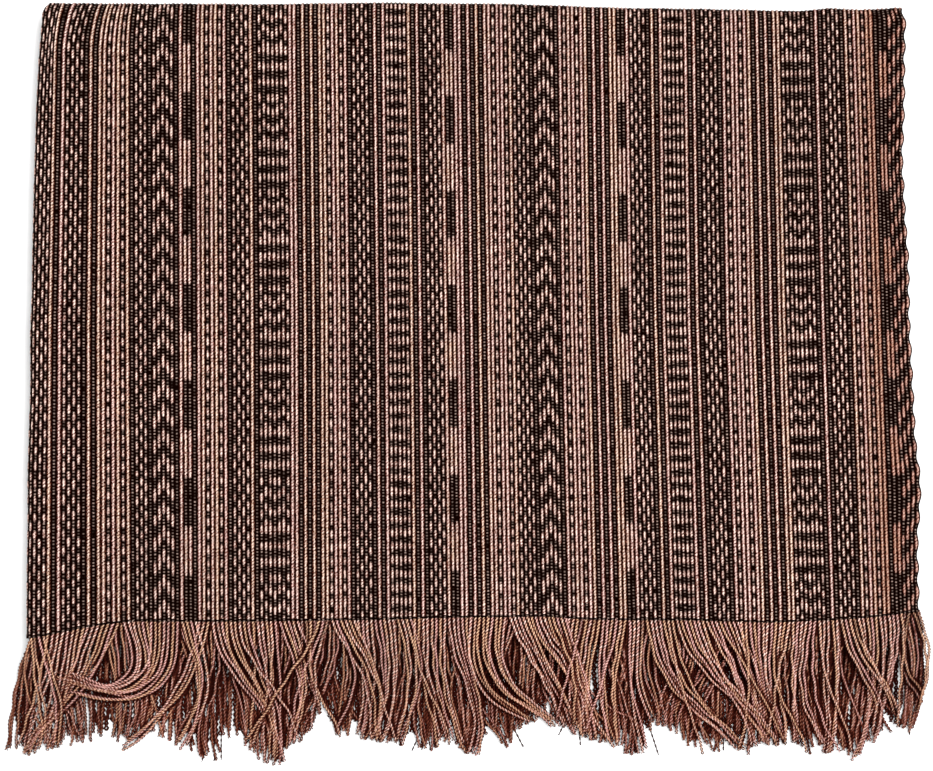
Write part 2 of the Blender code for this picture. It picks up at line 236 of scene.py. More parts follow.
def stack_top(s, t):
    """Height of the scarf's top at a share across, from the left, and along, from the fringed edge."""
    return STACK_HEIGHT - SIDE_SAG * np.abs(2 * s - 1) ** SAG_POWER - FRINGED_EDGE_SAG * (1 - t) ** SAG_POWER


def share_across(x):
    return np.clip((x - SAG_LEFT) / SAG_WIDTH, 0, 1)


def top_fold_radius(s):
    return TOP_FOLD_SHARE * stack_top(s, 1)


def warp_x(u, y):
    """x of warp position u, in columns from the left, at height y; both are arrays of one shape."""
    anchors = np.array([LEFT_ROLL_COLUMN] + [row[0] + 0.5 for row in WARP_LINES] + [WARP_COLUMNS])
    lines = [table(LEFT_EDGE, y) + SIDE_FOLD_RADIUS]
    lines += [np.interp(y, WARP_HEIGHTS, row[1:]) for row in WARP_LINES]
    lines.append(table(RIGHT_EDGE, y))
    lines = np.array(lines)
    place = np.clip(np.searchsorted(anchors, u, side="right") - 1, 0, len(anchors) - 2)
    share = (u - anchors[place]) / (anchors[place + 1] - anchors[place])
    before = np.take_along_axis(lines, place[None], 0)[0]
    after = np.take_along_axis(lines, place[None] + 1, 0)[0]
    lean = table(CORNER_LEAN, u) * np.clip((y - LEAN_FROM) / (LEAN_FULL - LEAN_FROM), 0, 1) ** 2
    return lerp(before, after, share) + lean


def pick_at(x, y):
    """The pick, counted along the warp towards the fringe, at a place on the cloth."""
    heights = np.array([table(WEFT_LINES, x, column) for column in (1, 2, 3)])
    result = np.zeros(np.broadcast(x, y).shape)
    for i in range(3):
        j, k = [n for n in range(3) if n != i]
        result += WEFT_PICKS[i] * (y - heights[j]) * (y - heights[k]) / (
            (heights[i] - heights[j]) * (heights[i] - heights[k]))
    return result


def column_motifs():
    """The motif of each column, from its letter and its place in its band."""
    motifs = []
    for n, letter in enumerate(BANDS):
        first = n
        while first > 0 and BANDS[first - 1] == letter:
            first -= 1
        rows = MOTIFS.get(letter)
        motifs.append(rows[(n - first) % len(rows)] if rows else letter)
    return motifs


COLUMN_MOTIFS = column_motifs()


def float_reach(column, picks):
    """How many picks inside (above 0) or outside (under 0) a pale float each pick of a column is."""
    motif = COLUMN_MOTIFS[int(np.clip(column + FOLD_COLUMNS, 0, len(BANDS) - 1))]
    if motif == "P":
        return np.full(picks.shape, ALL_THE_WAY)
    if motif == "K":
        return np.full(picks.shape, -ALL_THE_WAY)
    repeat = motif[0]
    best = np.full(picks.shape, -ALL_THE_WAY)
    for first, last in motif[1:]:
        middle = (first + last) / 2
        away = np.abs((picks - middle + repeat / 2) % repeat - repeat / 2)
        best = np.maximum(best, (last - first) / 2 - away)
    return best


def reach_by_column(columns, picks):
    """float_reach for places that lie in many columns."""
    reach = np.zeros(picks.shape)
    for n in np.unique(columns):
        reach[columns == n] = float_reach(n, picks[columns == n])
    return reach


def weave_uv(columns, picks):
    """The weave's own UV: columns across and picks along, both kept above zero."""
    return np.stack([columns + COLUMNS_ABOVE_ZERO, picks + PICKS_ABOVE_ZERO], -1)


# Meshes

def build_mesh(name, points, faces, material, uvs=None, corner_values=None, point_values=None):
    """A smooth-shaded object from arrays: points in mm, faces of equal size, and named values."""
    faces = np.asarray(faces, np.int32)
    points = np.asarray(points, float)
    mesh = bpy.data.meshes.new(name)
    mesh.vertices.add(len(points))
    shifted = (points + np.array([SHIFT_X, SHIFT_Y, 0.0])) * MM
    mesh.vertices.foreach_set("co", shifted.astype(np.float32).ravel())
    mesh.loops.add(faces.size)
    mesh.loops.foreach_set("vertex_index", faces.ravel())
    mesh.polygons.add(len(faces))
    mesh.polygons.foreach_set("loop_start", np.arange(0, faces.size, faces.shape[1], dtype=np.int32))
    for uv_name, values in (uvs or {}).items():
        layer = mesh.uv_layers.new(name=uv_name)
        layer.data.foreach_set("uv", np.asarray(values, np.float32).ravel())
    for domain, named_values in (("CORNER", corner_values), ("POINT", point_values)):
        for key, values in (named_values or {}).items():
            attribute = mesh.attributes.new(key, "FLOAT", domain)
            attribute.data.foreach_set("value", np.asarray(values, np.float32).ravel())
    mesh.update()
    mesh.validate()
    mesh.shade_smooth()
    mesh.materials.append(material)
    piece = bpy.data.objects.new(name, mesh)
    bpy.context.scene.collection.objects.link(piece)
    return piece


def corners_of(grid):
    """Values of a grid at the four corners of each of its quads."""
    return np.stack([grid[:-1, :-1], grid[:-1, 1:], grid[1:, 1:], grid[1:, :-1]], -1)


def woven_leaf(material):
    """The leaf that shows, with a rib to each warp column, rolled down at the left fold and the top fold."""
    across = np.arange(-FOLD_COLUMNS * 2, WARP_COLUMNS * 2 + 1) / 2
    flat = np.arange(ROWS_ALONG + 1) / ROWS_ALONG
    turned = math.radians(TOP_FOLD_TURN_DEG) * np.arange(1, TOP_FOLD_ROWS + 1) / TOP_FOLD_ROWS
    u, t = np.meshgrid(across, np.concatenate([flat, np.ones(TOP_FOLD_ROWS)]))
    tilt = np.repeat(np.concatenate([np.zeros(len(flat)), turned])[:, None], len(across), 1)

    flat_u = np.maximum(u, LEFT_ROLL_COLUMN)
    y = lerp(FRINGED_Y, TOP_Y, t)
    for _ in range(3):
        x = warp_x(flat_u, y)
        s = share_across(x)
        radius = top_fold_radius(s)
        y = lerp(table(FRINGED_EDGE, x), table(TOP_EDGE, x) - radius, t)
    picks = pick_at(x, y) - radius * tilt / PICK_LENGTH
    x = warp_x(flat_u, y + radius * np.sin(tilt))

    from_middle = np.abs(u - np.floor(u) - 0.5) * 2
    raised = np.clip(reach_by_column(np.floor(u).astype(int), picks) / FLOAT_RISE + 0.5, 0, 1)
    height = lerp(lerp(GROUND_CREST, CORD_CREST, raised), CORD_VALLEY, from_middle)
    height += PUCKER * smooth_noise(x, y * PUCKER_SQUEEZE, PUCKER_SEED) * np.clip(t / PUCKER_FULL_AT, 0, 1)
    selvedge = np.clip((u - WARP_COLUMNS + SELVEDGE_COLUMNS) / SELVEDGE_COLUMNS, 0, 1)
    height += SELVEDGE_CREST * np.sin(selvedge * math.pi) ** 2
    scallop = np.sin(2 * math.pi * (picks + SCALLOP_START) / SLANT_REPEAT)
    x = x + SELVEDGE_SCALLOP * selvedge ** 2 * scallop

    roll = np.maximum((LEFT_ROLL_COLUMN - u) / (2 * LEFT_ROLL_COLUMN), 0) * math.pi / 2
    inward = SIDE_FOLD_RADIUS * (1 - np.cos(roll))
    x = x - SIDE_FOLD_RADIUS * np.sin(roll)
    y = y + (radius - inward) * np.sin(tilt)
    z = stack_top(s, t) - radius * (1 - np.cos(tilt)) - inward * np.cos(tilt)
    normal = np.stack([-np.sin(roll), np.cos(roll) * np.sin(tilt), np.cos(roll) * np.cos(tilt)], -1)
    points = np.stack([x, y, z], -1) + height[..., None] * normal

    index = np.arange(u.size).reshape(u.shape)
    u_corners, pick_corners = corners_of(u), corners_of(picks)
    reach = reach_by_column(np.floor(u_corners.mean(-1)).astype(int), pick_corners)
    reach = np.where(corners_of(t) < DARK_LINE_ROWS / ROWS_ALONG, DARK_LINE_REACH, reach)
    bake_rows, bake_columns = (np.linspace(BAKE_MARGIN, 1 - BAKE_MARGIN, size) for size in u.shape)
    bake = np.stack([corners_of(part) for part in np.meshgrid(bake_columns, bake_rows)], -1)
    leaf = build_mesh("woven_leaf", points.reshape(-1, 3), corners_of(index).reshape(-1, 4), material,
                      uvs={"OFBake": bake, "weave": weave_uv(u_corners + FOLD_COLUMNS, pick_corners)},
                      corner_values={"float_reach": reach})
    wall = leaf.modifiers.new("leaf edges", "SOLIDIFY")
    wall.thickness = LEAF_THICKNESS * MM
    wall.offset = -1
    wall.use_rim_only = True
    return leaf


def top_fold_reach(s, z):
    """How far the hidden leaves reach past the start of the top fold: a lower fold and an inner one."""
    top = stack_top(s, 1)
    outer = top_fold_radius(s)
    lower = (top - 2 * outer) / 2
    inner = outer - LEAF_THICKNESS - CLEARANCE
    low_reach = np.sqrt(np.maximum(lower ** 2 - (z - lower) ** 2, 0)) * (1 - LOWER_FOLD_STANDS_BACK / lower)
    high_reach = np.sqrt(np.maximum(inner ** 2 - (z - (top - outer)) ** 2, 0))
    return np.maximum(np.where(z <= 2 * lower, low_reach, high_reach), CLEFT_REACH * (z < top - outer))


def groove(depth, crease):
    """How far a rounded edge stands back: nothing at its middle, the whole depth where crease is 1."""
    return depth * (1 - math.sqrt(max(1 - crease ** 2, 0)))


def leaf_levels():
    """The rings of the hidden leaves, from the floor up.

    columns: share of the height, drop under the top, how far the left, the right and the fringed side stand
    back, and how deep the ring lies in a crease between two loops and between two leaves"""
    levels = []
    count = 2 * HIDDEN_LOOPS * LEVELS_PER_LEAF
    for n in range(count + 1):
        share = n / count
        loop = min(int(share * HIDDEN_LOOPS), HIDDEN_LOOPS - 1)
        loop_crease = abs(2 * (share * HIDDEN_LOOPS - loop) - 1)
        leaf_crease = abs(2 * (share * 2 * HIDDEN_LOOPS % 1) - 1)
        left, right, fringed = LOOP_STANDS_BACK[HIDDEN_LOOPS if n == count else loop]
        left += groove(LOOP_GROOVE, loop_crease)
        right += SELVEDGE_INSET + groove(SELVEDGE_GROOVE, leaf_crease)
        fringed += groove(LOOP_GROOVE, loop_crease)
        levels.append((share, 2 * SIDE_FOLD_RADIUS, left, right, fringed, loop_crease, leaf_crease))
    seat = LEAF_THICKNESS + CLEARANCE
    left, right, fringed = LOOP_STANDS_BACK[HIDDEN_LOOPS]
    for radii, further, inside in FOLD_STEPS:
        drop = radii * SIDE_FOLD_RADIUS + further
        levels.append((1, drop, seat if inside else left, right + SELVEDGE_INSET, fringed, 0, 0))
    levels.append((1, seat, SIDE_FOLD_RADIUS, SELVEDGE_INSET, 0, 0, 0))
    return np.array(levels)


def places_round():
    """Places round the hidden leaves: shares across and along, and the side that each is on."""
    across = np.arange(STATIONS_ACROSS + 1) / STATIONS_ACROSS
    along = np.arange(STATIONS_ALONG + 1) / STATIONS_ALONG
    s = np.concatenate([across, np.ones(STATIONS_ALONG), across[::-1], np.zeros(STATIONS_ALONG)])
    t = np.concatenate([np.zeros(len(across)), along[1:], np.ones(len(across)), along[::-1][1:]])
    side = np.repeat([FRINGED, RIGHT, TOP, LEFT], [len(across), STATIONS_ALONG] * 2)
    return s[:-1], t[:-1], side[:-1]


def hidden_rings(levels, s, t, side):
    """The points of each ring of the hidden leaves."""
    rings = []
    for share, drop, left, right, fringed in levels[:, :5]:
        z = share * (stack_top(s, t) - drop)
        x = lerp(HIDDEN_LEFT, HIDDEN_RIGHT, s)
        y = lerp(table(FRINGED_EDGE, x), table(TOP_EDGE, x) - top_fold_radius(s), t)
        y = y + fringed * (side == FRINGED) + top_fold_reach(s, z) * (side == TOP)
        ragged = RAGGEDNESS * smooth_noise(y, z * RAGGED_SQUEEZE, RAGGED_SEED, longest=90, shortest=25)
        ragged = np.maximum(ragged, 0)
        edge_left = table(LEFT_EDGE, y) + left + ragged * (side == LEFT)
        edge_right = table(RIGHT_EDGE, y) - right - ragged * (side == RIGHT)
        corner = (s == 0) & (t == 1) & (z > stack_top(s, 1) - 2 * top_fold_radius(s))
        edge_left = np.where(corner, table(LEFT_EDGE, y) + max(left, CORNER_INSET), edge_left)
        rings.append(np.stack([lerp(edge_left, edge_right, s), y, z], -1))
    return np.array(rings)


def hidden_yarn(rings, levels, side):
    """The weave over the hidden leaves: its UV, how far inside a float it is, and how much painted shade it
    takes in a crease.
    """
    closed = np.concatenate([rings, rings[:, :1]], 1)
    x, y, z = (corners_of(closed[..., axis]) for axis in range(3))
    side = np.broadcast_to(side, x.shape[:2])
    right, top, left = side == RIGHT, side == TOP, side == LEFT
    picks = pick_at(x, y)
    columns = z / np.where(right, LEAF_THICKNESS, COLUMN_PITCH)[..., None]
    whole = np.floor(columns.mean(-1)).astype(int) + 1
    reach = np.full(x.shape, BESIDE_FLOATS)
    reach[left] = reach_by_column(whole[left] % 2 - 2, picks[left])
    drifting = picks + SELVEDGE_DRIFT * whole[..., None]
    reach[right] = reach_by_column(whole[right] % 2 + WARP_COLUMNS - 2, drifting[right])
    columns[top] = (WARP_COLUMNS * (x - x.min()) / (x.max() - x.min()))[top]
    picks[top] = TOP_FOLD_PICK - z[top] / PICK_LENGTH
    reach[top] = reach_by_column(np.floor(columns[top].mean(-1)).astype(int), picks[top])
    creases = [corners_of(np.repeat(levels[:, n, None], closed.shape[1], 1)) for n in (5, 6)]
    # painted shade: darker deep in the creases between loops and between leaves, none at the top fold
    crease_shade = np.where(right[..., None], creases[1], creases[0]) * ~top[..., None]
    crease_shade = np.clip((crease_shade - CREASE_SHADE_FROM) / (1 - CREASE_SHADE_FROM), 0, 1)
    return weave_uv(columns, picks), reach, crease_shade


def hidden_leaves(material):
    """The leaves under the one that shows, seen at their edges: loops at the left, selvedges at the right."""
    levels = leaf_levels()
    s, t, side = places_round()
    rings = hidden_rings(levels, s, t, side)
    index = np.arange(rings.size // 3).reshape(rings.shape[:2])
    faces = corners_of(np.concatenate([index, index[:, :1]], 1)).reshape(-1, 4)
    weave, reach, crease_shade = hidden_yarn(rings, levels, side)
    body = build_mesh("hidden_leaves", rings.reshape(-1, 3), faces, material, uvs={"weave": weave},
                      corner_values={"float_reach": reach, "crease_shade": crease_shade})
    close_ring(body, index[0][::-1])
    close_ring(body, index[-1])
    return body


def close_ring(piece, ring):
    """A flat face over a ring of points."""
    bm = bmesh.new()
    bm.from_mesh(piece.data)
    bm.verts.ensure_lookup_table()
    bm.faces.new([bm.verts[int(i)] for i in ring])
    bm.to_mesh(piece.data)
    bm.free()
    piece.data.shade_smooth()


# Fringe

# Locks of the fringe on top, as they fall in the photo
# columns: first and last warp column, lift in mm, headings in degrees to the right of straight down at the
# root, a third, two thirds and the tip, degrees that the lock gathers, length in mm, where 0 is to the tips
LOCKS = [
    (0, 3, 0.0, 6, 10, 4, -14, 4, 0),
    (4, 11, 0.0, -12, -16, -20, -6, 6, 0),
    (12, 18, 0.3, -22, -34, -38, -20, 12, 0),
    (19, 24, 1.9, 10, -25, -95, -88, 16, 53),
    (25, 31, 2.5, 0, -42, -98, -84, 22, 62),
    (32, 35, 1.3, 12, 6, -18, -34, 6, 0),
    (36, 38, 0.9, -12, -26, -48, -46, 4, 64),
    (39, 42, 1.5, 2, 24, 36, 20, 4, 46),
    (43, 47, 1.0, -3, 26, 12, -8, 8, 0),
    (48, 53, 0.4, 4, 2, -6, -10, 6, 0),
    (54, 58, 1.2, 14, 12, -8, -14, 8, 0),
    (59, 62, 0.6, 6, 0, 8, 14, 8, 0),
    (63, 65, 1.4, -6, -26, -12, -8, 4, 0),
    (66, 71, 0.8, 16, 28, 10, 0, 10, 0),
    (72, 76, 0.3, 4, 4, -6, -16, 6, 0),
    (77, 80, 1.1, 8, 0, -14, -20, 6, 0),
    (81, 84, 0.6, 16, 4, -12, -14, 6, 0),
    (85, 92, 0.2, 0, 4, 12, 8, 8, 0),
    (93, 97, 0.7, -2, 14, 16, -20, 6, 0),
    (98, 100, 1.3, -4, 8, 48, 62, 4, 54),
    (101, 106, 0.9, -6, 16, 46, 44, 6, 55),
    (107, 111, 0.5, 16, 30, 26, 14, 6, 0),
    (112, 120, 0.9, 12, 28, 16, 4, 10, 0),
    (121, 128, 0.3, -10, -4, 2, 6, 10, 0),
    (129, 134, 0.6, -5, -6, 2, 8, 6, 0),
    (135, 138, 0.9, 4, -4, 10, 18, 4, 0),
    (139, 145, 0.6, 8, 24, 44, 40, 6, 0),
    (146, 152, 1.0, 14, 36, 40, 24, 10, 0),
    (153, 160, 0.5, 20, 26, 14, 16, 8, 0),
    (161, 168, 0.3, 2, 8, 12, 6, 6, 0),
    (169, 175, 0.6, -2, 0, 4, -6, 8, 0),
    (176, 178, 1.2, -6, 4, 26, 36, 2, 0),
    (179, 183, 0.4, 3, 0, 2, -26, 6, 0),
    (184, 188, 1.4, 10, 26, 34, 8, 4, 44),
    (189, 194, 0.5, 6, -2, -10, -22, 8, 0),
    (195, 198, 0.8, 8, 0, -8, -16, 4, 0),
    (199, 200, 0.3, -5, 0, 20, 34, 2, 0),
    (201, 202, 0.9, 26, 10, -8, -30, 2, 0),
]
HEADING_PLACES = (0, 1 / 3, 2 / 3, 1)

# The line that the tips of the fringe reach
# columns: x, y
TIPS = [
    (-187, -120), (-182, -134), (-180, -147), (-174, -149), (-166, -146), (-155, -143), (-133, -143),
    (-125, -140), (-117, -143), (-111, -148), (-99, -151), (-97, -141), (-87, -145), (-81, -151), (-74, -152),
    (-69, -143), (-63, -142), (-60, -132), (-56, -132), (-53, -141), (-30, -143), (-20, -147), (-14, -147),
    (-8, -143), (2, -148), (6, -147), (9, -140), (18, -146), (21, -139), (29, -134), (34, -134), (39, -138),
    (53, -143), (61, -146), (69, -149), (72, -145), (75, -136), (83, -139), (92, -147), (100, -147),
    (106, -144), (113, -148), (117, -144), (132, -144), (138, -148), (148, -146), (155, -150), (160, -145),
    (168, -140), (178, -139), (181, -130), (184, -121),
]

# Each layer of fringe
# columns: drop of its roots under the leaf's top, height it comes down to, how far out it gets there,
# rings along a strand, how stout its yarn is, how much light gets down to it
LAYERS = {
    "top": (0.7, 4.2, 40.0, 118, 1.0, 1.0),
    "second": (2.2, 3.3, 36.0, 76, 1.0, 0.85),
    "third": (7.0, 2.5, 30.0, 70, 1.05, 0.62),
    "lowest": (11.0, 0.9, 24.0, 46, 1.55, 0.22),
}
LAYER_SEEDS = {"top": 3, "second": 5, "third": 8, "lowest": 13}
# where the roots of each layer lie between the warp columns
ROOT_SHIFTS = {"top": 0.5, "second": 0.95, "third": 0.3, "lowest": 0.75}
ROOT_TUCK = 0.6
# how far short of the line of tips each layer ends
SHORT_OF_TIPS = {"top": 0, "second": 0, "third": 0.5, "lowest": 5}
# how freely the bundles of each layer wander from their locks
BUNDLE_FREEDOM = {"top": 1.0, "second": 1.0, "third": 0.7, "lowest": 0.25}

# Locks of the hidden layers: how many strands, how much they bend in degrees at the root, a third, two thirds
# and the tip, how they lift and gather, and how they flare at both sides
UNDER_STRANDS = (2, 6)
UNDER_BENDS = {"second": (3, 10, 14, 18), "third": (1, 3, 5, 10), "lowest": (0, 0.5, 0.5, 1.5)}
UNDER_LIFTS = (-0.5, 0.6)
UNDER_GATHER = 3
LEFT_FLARE_COLUMNS = 10
LEFT_FLARE = np.array([-22, -16, -4, 2])
LEFT_FLARE_FREEDOM = 0.3
RIGHT_FLARE_COLUMNS = 4
RIGHT_FLARE = np.array([16, 8, -4, -16])
RIGHT_FLARE_FREEDOM = 0.2

# How bundles and strands wander within a lock, in degrees at the root, a third, two thirds and the tip
BUNDLE_STRANDS = (2, 5)
BUNDLE_BENDS = (1, 2.5, 3.5, 6)
STRAND_BENDS = (0.7, 1.2, 2, 4)
# a stray strand bends by this many degrees, times the share at those four places, and lies higher
STRAY_SHARE = 0.08
STRAY_ANGLES = (8, 26)
STRAY_BENDS = np.array([0, 0.5, 1, 1.3])
STRAY_LIFT = 1.3
# in a lock that turns, the strands inside the bend turn sooner
USUAL_LENGTH = 50
CLOSER_IN_BENDS = 0.75
LENGTH_SHARES = (0.93, 1.02)
WAVE_HEIGHTS = (0.1, 0.35)
WAVES = (2, 5)
LIFT_FREEDOM = 0.5
LIFT_LOST_AT_TIP = 0.4
# shares of a strand over which its waves and its lift set in
WAVE_SETS_IN = 0.25
LIFT_SETS_IN = 0.2
# for the search for the length that ends on the line of tips
FIRST_LENGTH = 48.0
LENGTH_RANGE = (24, 66)
LEAST_FALL = 0.45

# Yarn: two plies that wind round each other, frayed at the tip
PLY_RADIUS = 0.41
PLY_OFFSET = 0.35
STRAND_RADIUS = PLY_RADIUS + PLY_OFFSET
PLIES = 2
PLY_SIDES = 3
TURN_LENGTH = 2.8
PHASE_FREEDOM = 0.5
THICKNESS_SHARES = (0.92, 1.08)
YARN_SEED = 41
FRAYED_SHARE = 0.05
FRAYED_THINNER = 0.15
FRAYED_WIDER = 0.3
FLOOR_GAP = 0.2
STRIP_MARGIN = 0.06

# Painted light and shade of the yarn: on its crest, on its side; and how much darker it is towards its tip
MIDDLE_LIGHT = 0.5
CREST_LIGHTER = 0.9
SIDE_DARKER = 0.85
DIMMER_AT_TIPS = 0.28
# a grid of the uppermost yarn: left, bottom, right and top, and its cells
FRINGE_BOX = (-200.0, -165.0, 200.0, -80.0)
SHADE_CELL = 0.4
SHADE_REACH = 3
# how far a point stands over the yarn round it, in mm, where it is dark and where it is in full light
DARK_UNDER = -1.1
LIGHT_OVER = -0.1

# Dark ends of thread that stick out past the tips
# columns: x and y of the upper end, heading in degrees to the right of straight down, length
LOOSE_ENDS = [
    (-103.6, -140.8, -12, 10.9), (-100.9, -140.8, 0, 10.3), (-98.1, -140, 0, 10.7), (-88.2, -141.6, 35, 4.8),
    (-19, -141.2, -25, 6.5), (-16.6, -141.2, -12, 5.7), (-15, -141.2, 8, 5.7), (19.8, -139.2, 27, 7),
    (39.5, -136, -27, 5.3), (45.5, -140, 5, 4.8), (74.4, -140, 18, 9.1), (103.2, -144.4, 0, 2.5),
    (106.4, -142.4, 20, 3.5), (178, -137.6, -5, 3.2),
]
LOOSE_END_RADIUS = 0.36
LOOSE_END_HEIGHT = 0.7
LOOSE_END_TUCK = 9


def fringe_roots(layer):
    """Root of every strand of a layer, in mm, just inside the cloth's edge."""
    u = np.arange(WARP_COLUMNS) + ROOT_SHIFTS[layer]
    y = np.full(WARP_COLUMNS, FRINGED_Y)
    for _ in range(3):
        x = warp_x(np.maximum(u, LEFT_ROLL_COLUMN), y)
        y = table(FRINGED_EDGE, x)
    z = stack_top(share_across(x), 0) - LAYERS[layer][0]
    return np.stack([x, y + ROOT_TUCK, z], -1)


def hidden_locks(draw, bends):
    """Locks of a layer under the top one: small random bundles, with a flare at each side."""
    locks = []
    first = 0
    while first < WARP_COLUMNS:
        last = min(first + draw.integers(*UNDER_STRANDS), WARP_COLUMNS - 1)
        headings = draw.normal(0, 1, 4) * bends
        if first < LEFT_FLARE_COLUMNS:
            headings = headings * LEFT_FLARE_FREEDOM + LEFT_FLARE * (1 - first / LEFT_FLARE_COLUMNS)
        if last >= WARP_COLUMNS - RIGHT_FLARE_COLUMNS:
            headings = headings * RIGHT_FLARE_FREEDOM + RIGHT_FLARE
        lift = draw.uniform(*UNDER_LIFTS)
        gather = draw.uniform(0, UNDER_GATHER) * (bends[0] > 0)
        locks.append((first, last, lift, *headings, gather, 0))
        first = last + 1
    return locks


def heading_along(headings, share):
    """A smooth run through the headings at the root, a third, two thirds and the tip."""
    total = 0
    for i, heading in enumerate(headings):
        weight = 1.0
        for j, other in enumerate(HEADING_PLACES):
            if j != i:
                weight = weight * (share - other) / (HEADING_PLACES[i] - other)
        total = total + heading * weight
    return np.radians(total)


def length_to_tips(root, heading):
    """How long a strand is that ends on the line of tips."""
    down = np.cos(heading).mean()
    right = np.sin(heading).mean()
    length = FIRST_LENGTH
    for _ in range(4):
        length = (root[1] - table(TIPS, root[0] + right * length)) / max(down, LEAST_FALL)
    return float(np.clip(length, *LENGTH_RANGE))


def running_sum(steps):
    return np.concatenate([[0], np.cumsum(steps)])


def strand_paths(layer):
    """The middle line of each strand of a layer."""
    draw = np.random.default_rng(LAYER_SEEDS[layer])
    rest, reach, rings, stout = LAYERS[layer][1:5]
    freedom = BUNDLE_FREEDOM[layer]
    roots = fringe_roots(layer)
    locks = LOCKS if layer == "top" else hidden_locks(draw, UNDER_BENDS[layer])
    share = np.linspace(0, 1, rings)
    lines = []
    for first, last, lift, *bends, gather, lock_length in locks:
        headings = np.array(bends, float)
        left_in_bundle = 0
        for n in range(first, last + 1):
            if left_in_bundle == 0:
                bundle_bend = draw.normal(0, BUNDLE_BENDS) * freedom
                left_in_bundle = draw.integers(*BUNDLE_STRANDS)
            left_in_bundle -= 1
            own = headings + bundle_bend + draw.normal(0, STRAND_BENDS) * freedom
            stray = draw.random() < STRAY_SHARE * freedom and not lock_length
            if stray:
                own = own + draw.choice((-1, 1)) * draw.uniform(*STRAY_ANGLES) * STRAY_BENDS
            place = (n - first) / max(last - first, 1) - 0.5
            inner = n - first if headings[2] < 0 else last - n
            delay = inner * COLUMN_PITCH * math.tan(math.radians(abs(headings[2])) / 2) / USUAL_LENGTH
            heading = heading_along(own, np.clip(share - CLOSER_IN_BENDS * delay, 0, 1))
            heading = heading - math.radians(gather) * place * np.sin(math.pi * share)
            length = lock_length or length_to_tips(roots[n], heading) - SHORT_OF_TIPS[layer]
            length *= draw.uniform(*LENGTH_SHARES)
            step = length / (rings - 1)
            wave_height = draw.uniform(*WAVE_HEIGHTS) * np.clip(share / WAVE_SETS_IN, 0, 1)
            wave = wave_height * np.sin(2 * math.pi * (share * draw.uniform(*WAVES) + draw.random()))
            x = roots[n, 0] + running_sum(np.sin(heading[1:]) * step) + wave * np.cos(heading)
            y = roots[n, 1] - running_sum(np.cos(heading[1:]) * step) + wave * np.sin(heading)
            out = np.clip((roots[n, 1] - y) / reach, 0, 1)
            z = lerp(rest, roots[n, 2], (1 - out) ** 2 * (1 + 2 * out))
            over = lift + draw.uniform(-LIFT_FREEDOM, LIFT_FREEDOM) + STRAY_LIFT * stray
            z = z + over * np.clip(share / LIFT_SETS_IN, 0, 1) * (1 - LIFT_LOST_AT_TIP * share)
            lines.append(np.stack([x, y, np.maximum(z, STRAND_RADIUS * stout + FLOOR_GAP)], -1))
    return np.array(lines)


def loose_ends(rings):
    """The middle line of each loose end."""
    x, y, heading, length = np.array(LOOSE_ENDS, float).T[..., None]
    along = lerp(-LOOSE_END_TUCK, length, np.linspace(0, 1, rings))
    bend = np.radians(heading)
    z = np.full(along.shape, LOOSE_END_HEIGHT)
    return np.stack([x + along * np.sin(bend), y - along * np.cos(bend), z], -1)


def shade_cells(points):
    """The row and column of the shade grid under each point."""
    left, bottom = FRINGE_BOX[:2]
    rows = ((points[..., 1] - bottom) / SHADE_CELL).astype(int)
    columns = ((points[..., 0] - left) / SHADE_CELL).astype(int)
    return rows, columns


def yarn_tops(layers_of_lines):
    """The mean height of the uppermost yarn round each place of the fringe, on a fine grid."""
    left, bottom, right, top = FRINGE_BOX
    tops = np.zeros((int((top - bottom) / SHADE_CELL), int((right - left) / SHADE_CELL)))
    cells = int(STRAND_RADIUS / SHADE_CELL) + 1
    near = range(-cells, cells + 1)
    for lines in layers_of_lines:
        for share in (0, 0.25, 0.5, 0.75):
            points = lerp(lines[:, :-1], lines[:, 1:], share).reshape(-1, 3)
            rows, columns = shade_cells(points)
            for i in near:
                for j in near:
                    away = SHADE_CELL * math.hypot(i, j)
                    if away < STRAND_RADIUS:
                        surface = points[:, 2] + math.sqrt(STRAND_RADIUS ** 2 - away ** 2)
                        np.maximum.at(tops, (rows + i, columns + j), surface)
    steps = range(-SHADE_REACH, SHADE_REACH + 1)
    return sum(np.roll(tops, (i, j), (0, 1)) for i in steps for j in steps) / len(steps) ** 2


def light_on(points, tops):
    """How much light gets to points of the fringe: little to those deeper than their neighbours."""
    stands_out = points[..., 2] - tops[shade_cells(points)]
    return np.clip((stands_out - DARK_UNDER) / (LIGHT_OVER - DARK_UNDER), 0, 1)


def strand_frames(lines):
    """The length so far at each ring of each line, and the level and upward directions across it there."""
    tangent = np.gradient(lines, axis=1)
    tangent /= np.linalg.norm(tangent, axis=2, keepdims=True)
    steps = np.linalg.norm(np.diff(lines, axis=1), axis=2)
    length = np.concatenate([np.zeros((len(lines), 1)), np.cumsum(steps, axis=1)], 1)
    level = np.stack([-tangent[..., 1], tangent[..., 0], np.zeros(tangent.shape[:2])], -1)
    level /= np.maximum(np.linalg.norm(level, axis=2, keepdims=True), 1e-6)
    return length, level, np.cross(tangent, level)


def tube_faces(count, rings, share):
    """Faces of the tubes of a layer's plies, and their baking UV: a narrow strip to each strand."""
    each = PLIES * PLY_SIDES
    index = np.arange(count * rings * each).reshape(count, rings, each)
    low, high = index[:, :-1], index[:, 1:]
    strand = np.arange(count)[:, None] + np.zeros((1, rings - 1))
    low_share, high_share = share[:, :-1], share[:, 1:]
    faces, bake = [], []
    for a in range(each):
        ply, side = divmod(a, PLY_SIDES)
        b = ply * PLY_SIDES + (side + 1) % PLY_SIDES
        faces.append(np.stack([low[..., a], high[..., a], high[..., b], low[..., b]], -1).reshape(-1, 4))
        u0, u1 = ((strand + lerp(STRIP_MARGIN, 1 - STRIP_MARGIN, k / each)) / count for k in (a, a + 1))
        corners = ((u0, low_share), (u0, high_share), (u1, high_share), (u1, low_share))
        bake.append(np.stack([np.stack(corner, -1) for corner in corners], -2).reshape(-1, 4, 2))
    return np.concatenate(faces), np.concatenate(bake)


